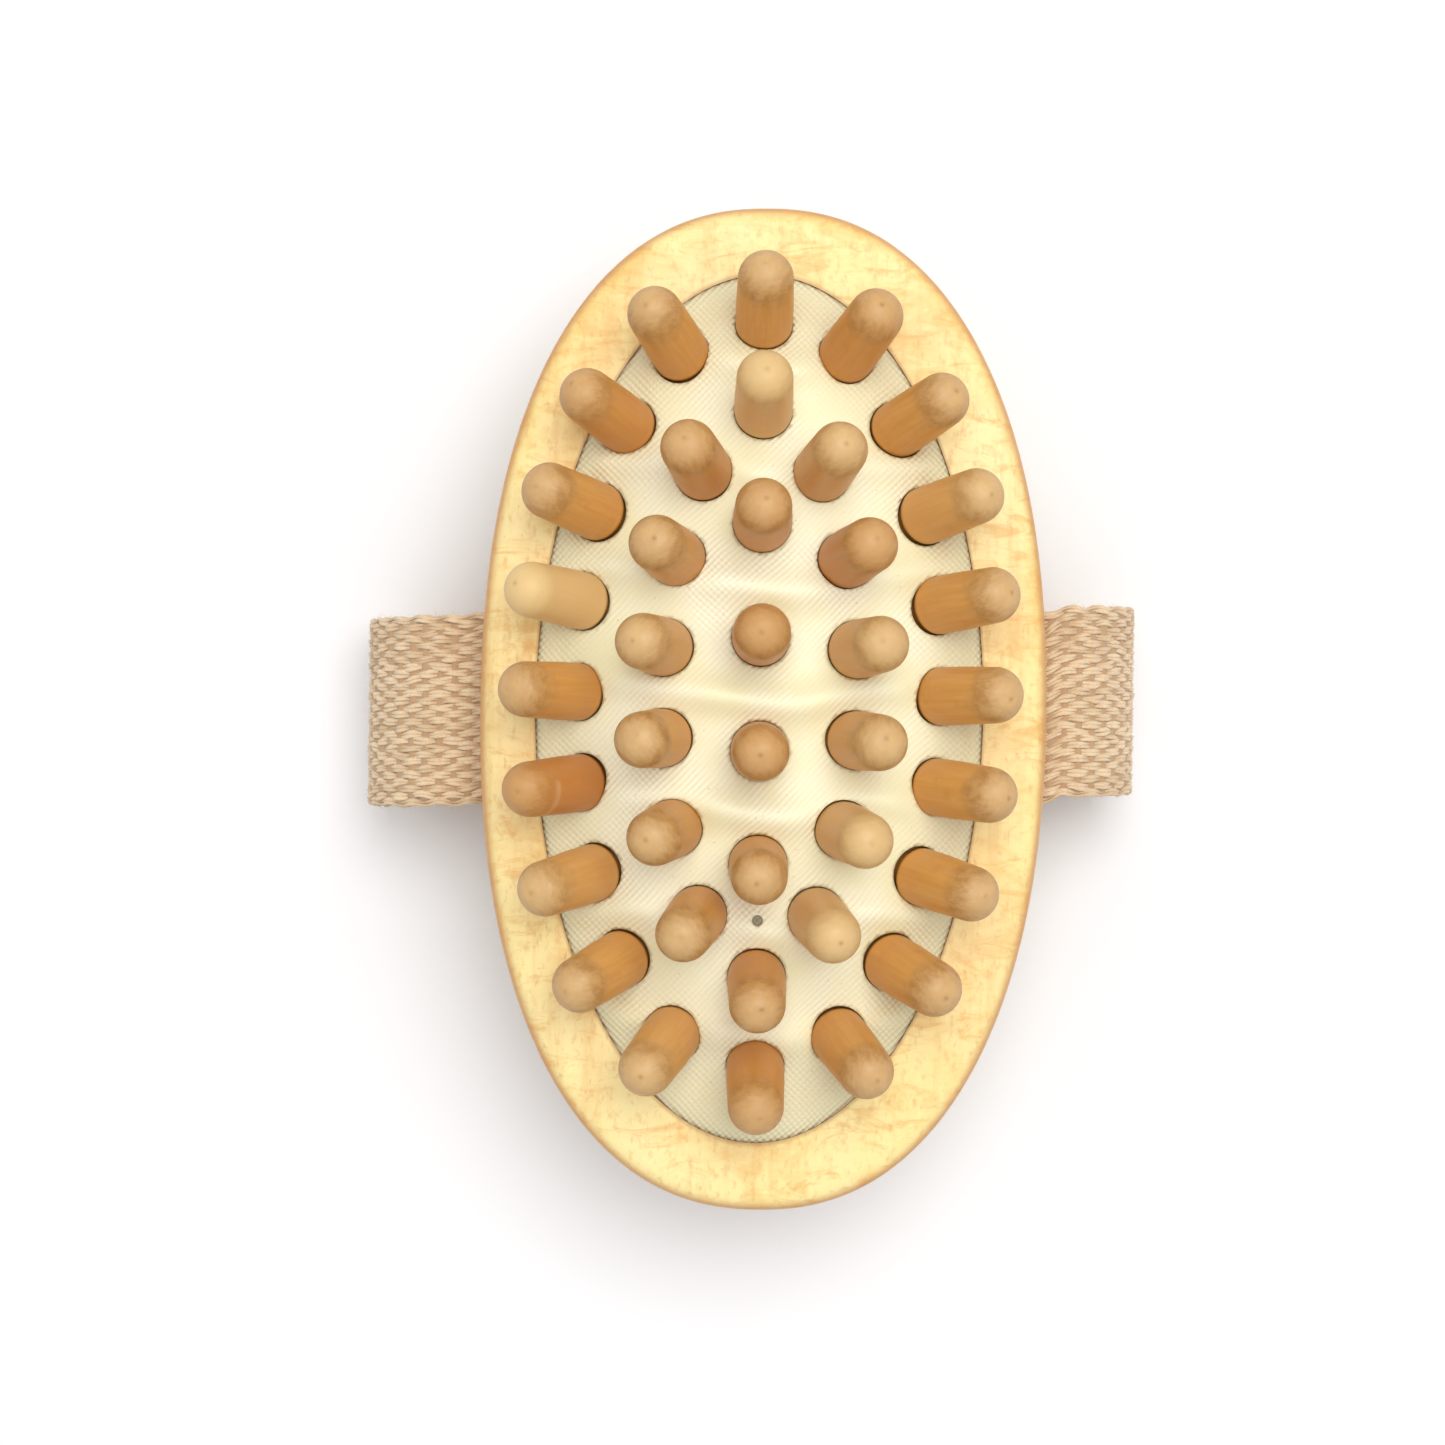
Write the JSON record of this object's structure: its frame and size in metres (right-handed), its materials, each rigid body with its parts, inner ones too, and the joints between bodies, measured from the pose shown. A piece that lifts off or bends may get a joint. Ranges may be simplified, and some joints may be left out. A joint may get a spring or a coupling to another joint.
{
  "type": "body dry brush",
  "caption": "Oval wooden body brush with turned wooden massage pegs on a domed rubber air cushion and a webbing hand loop.",
  "frame": {"origin": "bottom centre of the brush, on the surface that the strap's flat run rests on", "axes": "+Y along the brush, +X across it along the strap, +Z out of the peg side"},
  "size_m": [0.1046, 0.13, 0.0575],
  "materials": {
    "body_wood": "satin lacquered birch or maple",
    "cushion_rubber": "matt cream natural rubber with a fine cloth imprint",
    "peg_wood": "satin turned hardwood",
    "strap_webbing": "coarse undyed cotton webbing",
    "brad_steel": "plain steel"
  },
  "bodies": {
    "brush": {"body_block": "body_wood", "rubber_cushion": "cushion_rubber", "hand_strap": "strap_webbing", "strap_brads_left": "brad_steel", "strap_brads_right": "brad_steel"},
    "peg_outer_01": {"peg_outer_01": "peg_wood"},
    "peg_outer_02": {"peg_outer_02": "peg_wood"},
    "peg_outer_03": {"peg_outer_03": "peg_wood"},
    "peg_outer_04": {"peg_outer_04": "peg_wood"},
    "peg_outer_05": {"peg_outer_05": "peg_wood"},
    "peg_outer_06": {"peg_outer_06": "peg_wood"},
    "peg_outer_07": {"peg_outer_07": "peg_wood"},
    "peg_outer_08": {"peg_outer_08": "peg_wood"},
    "peg_outer_09": {"peg_outer_09": "peg_wood"},
    "peg_outer_10": {"peg_outer_10": "peg_wood"},
    "peg_outer_11": {"peg_outer_11": "peg_wood"},
    "peg_outer_12": {"peg_outer_12": "peg_wood"},
    "peg_outer_13": {"peg_outer_13": "peg_wood"},
    "peg_outer_14": {"peg_outer_14": "peg_wood"},
    "peg_outer_15": {"peg_outer_15": "peg_wood"},
    "peg_outer_16": {"peg_outer_16": "peg_wood"},
    "peg_outer_17": {"peg_outer_17": "peg_wood"},
    "peg_outer_18": {"peg_outer_18": "peg_wood"},
    "peg_outer_19": {"peg_outer_19": "peg_wood"},
    "peg_outer_20": {"peg_outer_20": "peg_wood"},
    "peg_inner_01": {"peg_inner_01": "peg_wood"},
    "peg_inner_02": {"peg_inner_02": "peg_wood"},
    "peg_inner_03": {"peg_inner_03": "peg_wood"},
    "peg_inner_04": {"peg_inner_04": "peg_wood"},
    "peg_inner_05": {"peg_inner_05": "peg_wood"},
    "peg_inner_06": {"peg_inner_06": "peg_wood"},
    "peg_inner_07": {"peg_inner_07": "peg_wood"},
    "peg_inner_08": {"peg_inner_08": "peg_wood"},
    "peg_inner_09": {"peg_inner_09": "peg_wood"},
    "peg_inner_10": {"peg_inner_10": "peg_wood"},
    "peg_inner_11": {"peg_inner_11": "peg_wood"},
    "peg_inner_12": {"peg_inner_12": "peg_wood"},
    "peg_inner_13": {"peg_inner_13": "peg_wood"},
    "peg_inner_14": {"peg_inner_14": "peg_wood"},
    "peg_centre_01": {"peg_centre_01": "peg_wood"},
    "peg_centre_02": {"peg_centre_02": "peg_wood"},
    "peg_centre_03": {"peg_centre_03": "peg_wood"},
    "peg_centre_04": {"peg_centre_04": "peg_wood"}
  },
  "joints": [
    {"name": "push_outer_01", "type": "slide", "parent": "brush", "child": "peg_outer_01", "axis": [0, -0.353, -0.9356], "range_m": [0, 0.0025], "stiffness_N_per_m": 800},
    {"name": "push_outer_02", "type": "slide", "parent": "brush", "child": "peg_outer_02", "axis": [-0.2763, -0.3159, -0.9077], "range_m": [0, 0.0025], "stiffness_N_per_m": 800},
    {"name": "push_outer_03", "type": "slide", "parent": "brush", "child": "peg_outer_03", "axis": [-0.4268, -0.2376, -0.8726], "range_m": [0, 0.0025], "stiffness_N_per_m": 800},
    {"name": "push_outer_04", "type": "slide", "parent": "brush", "child": "peg_outer_04", "axis": [-0.4953, -0.1578, -0.8543], "range_m": [0, 0.0025], "stiffness_N_per_m": 800},
    {"name": "push_outer_05", "type": "slide", "parent": "brush", "child": "peg_outer_05", "axis": [-0.5213, -0.0827, -0.8493], "range_m": [0, 0.0025], "stiffness_N_per_m": 800},
    {"name": "push_outer_06", "type": "slide", "parent": "brush", "child": "peg_outer_06", "axis": [-0.5244, -0.0114, -0.8514], "range_m": [0, 0.0025], "stiffness_N_per_m": 800},
    {"name": "push_outer_07", "type": "slide", "parent": "brush", "child": "peg_outer_07", "axis": [-0.5162, 0.0589, -0.8545], "range_m": [0, 0.0025], "stiffness_N_per_m": 800},
    {"name": "push_outer_08", "type": "slide", "parent": "brush", "child": "peg_outer_08", "axis": [-0.486, 0.1313, -0.864], "range_m": [0, 0.0025], "stiffness_N_per_m": 800},
    {"name": "push_outer_09", "type": "slide", "parent": "brush", "child": "peg_outer_09", "axis": [-0.4152, 0.2068, -0.8859], "range_m": [0, 0.0025], "stiffness_N_per_m": 800},
    {"name": "push_outer_10", "type": "slide", "parent": "brush", "child": "peg_outer_10", "axis": [-0.2662, 0.279, -0.9227], "range_m": [0, 0.0025], "stiffness_N_per_m": 800},
    {"name": "push_outer_11", "type": "slide", "parent": "brush", "child": "peg_outer_11", "axis": [0, 0.3118, -0.9502], "range_m": [0, 0.0025], "stiffness_N_per_m": 800},
    {"name": "push_outer_12", "type": "slide", "parent": "brush", "child": "peg_outer_12", "axis": [0.2662, 0.279, -0.9227], "range_m": [0, 0.0025], "stiffness_N_per_m": 800},
    {"name": "push_outer_13", "type": "slide", "parent": "brush", "child": "peg_outer_13", "axis": [0.4152, 0.2068, -0.8859], "range_m": [0, 0.0025], "stiffness_N_per_m": 800},
    {"name": "push_outer_14", "type": "slide", "parent": "brush", "child": "peg_outer_14", "axis": [0.486, 0.1313, -0.864], "range_m": [0, 0.0025], "stiffness_N_per_m": 800},
    {"name": "push_outer_15", "type": "slide", "parent": "brush", "child": "peg_outer_15", "axis": [0.5162, 0.0589, -0.8545], "range_m": [0, 0.0025], "stiffness_N_per_m": 800},
    {"name": "push_outer_16", "type": "slide", "parent": "brush", "child": "peg_outer_16", "axis": [0.5244, -0.0114, -0.8514], "range_m": [0, 0.0025], "stiffness_N_per_m": 800},
    {"name": "push_outer_17", "type": "slide", "parent": "brush", "child": "peg_outer_17", "axis": [0.5213, -0.0827, -0.8493], "range_m": [0, 0.0025], "stiffness_N_per_m": 800},
    {"name": "push_outer_18", "type": "slide", "parent": "brush", "child": "peg_outer_18", "axis": [0.4953, -0.1578, -0.8543], "range_m": [0, 0.0025], "stiffness_N_per_m": 800},
    {"name": "push_outer_19", "type": "slide", "parent": "brush", "child": "peg_outer_19", "axis": [0.4268, -0.2376, -0.8726], "range_m": [0, 0.0025], "stiffness_N_per_m": 800},
    {"name": "push_outer_20", "type": "slide", "parent": "brush", "child": "peg_outer_20", "axis": [0.2763, -0.3159, -0.9077], "range_m": [0, 0.0025], "stiffness_N_per_m": 800},
    {"name": "push_inner_01", "type": "slide", "parent": "brush", "child": "peg_inner_01", "axis": [0, -0.2303, -0.9731], "range_m": [0, 0.0025], "stiffness_N_per_m": 800},
    {"name": "push_inner_02", "type": "slide", "parent": "brush", "child": "peg_inner_02", "axis": [-0.155, -0.1651, -0.974], "range_m": [0, 0.0025], "stiffness_N_per_m": 800},
    {"name": "push_inner_03", "type": "slide", "parent": "brush", "child": "peg_inner_03", "axis": [-0.1964, -0.0925, -0.9761], "range_m": [0, 0.0025], "stiffness_N_per_m": 800},
    {"name": "push_inner_04", "type": "slide", "parent": "brush", "child": "peg_inner_04", "axis": [-0.2033, -0.0339, -0.9785], "range_m": [0, 0.0025], "stiffness_N_per_m": 800},
    {"name": "push_inner_05", "type": "slide", "parent": "brush", "child": "peg_inner_05", "axis": [-0.1981, 0.0166, -0.98], "range_m": [0, 0.0025], "stiffness_N_per_m": 800},
    {"name": "push_inner_06", "type": "slide", "parent": "brush", "child": "peg_inner_06", "axis": [-0.1845, 0.0695, -0.9804], "range_m": [0, 0.0025], "stiffness_N_per_m": 800},
    {"name": "push_inner_07", "type": "slide", "parent": "brush", "child": "peg_inner_07", "axis": [-0.144, 0.134, -0.9805], "range_m": [0, 0.0025], "stiffness_N_per_m": 800},
    {"name": "push_inner_08", "type": "slide", "parent": "brush", "child": "peg_inner_08", "axis": [0, 0.1931, -0.9812], "range_m": [0, 0.0025], "stiffness_N_per_m": 800},
    {"name": "push_inner_09", "type": "slide", "parent": "brush", "child": "peg_inner_09", "axis": [0.144, 0.134, -0.9805], "range_m": [0, 0.0025], "stiffness_N_per_m": 800},
    {"name": "push_inner_10", "type": "slide", "parent": "brush", "child": "peg_inner_10", "axis": [0.1845, 0.0695, -0.9804], "range_m": [0, 0.0025], "stiffness_N_per_m": 800},
    {"name": "push_inner_11", "type": "slide", "parent": "brush", "child": "peg_inner_11", "axis": [0.1981, 0.0166, -0.98], "range_m": [0, 0.0025], "stiffness_N_per_m": 800},
    {"name": "push_inner_12", "type": "slide", "parent": "brush", "child": "peg_inner_12", "axis": [0.2033, -0.0339, -0.9785], "range_m": [0, 0.0025], "stiffness_N_per_m": 800},
    {"name": "push_inner_13", "type": "slide", "parent": "brush", "child": "peg_inner_13", "axis": [0.1964, -0.0925, -0.9761], "range_m": [0, 0.0025], "stiffness_N_per_m": 800},
    {"name": "push_inner_14", "type": "slide", "parent": "brush", "child": "peg_inner_14", "axis": [0.155, -0.1651, -0.974], "range_m": [0, 0.0025], "stiffness_N_per_m": 800},
    {"name": "push_centre_01", "type": "slide", "parent": "brush", "child": "peg_centre_01", "axis": [0, -0.1015, -0.9948], "range_m": [0, 0.0025], "stiffness_N_per_m": 800},
    {"name": "push_centre_02", "type": "slide", "parent": "brush", "child": "peg_centre_02", "axis": [0, -0.0194, -0.9998], "range_m": [0, 0.0025], "stiffness_N_per_m": 800},
    {"name": "push_centre_03", "type": "slide", "parent": "brush", "child": "peg_centre_03", "axis": [0, 0.0075, -1], "range_m": [0, 0.0025], "stiffness_N_per_m": 800},
    {"name": "push_centre_04", "type": "slide", "parent": "brush", "child": "peg_centre_04", "axis": [0, 0.0748, -0.9972], "range_m": [0, 0.0025], "stiffness_N_per_m": 800}
  ]
}
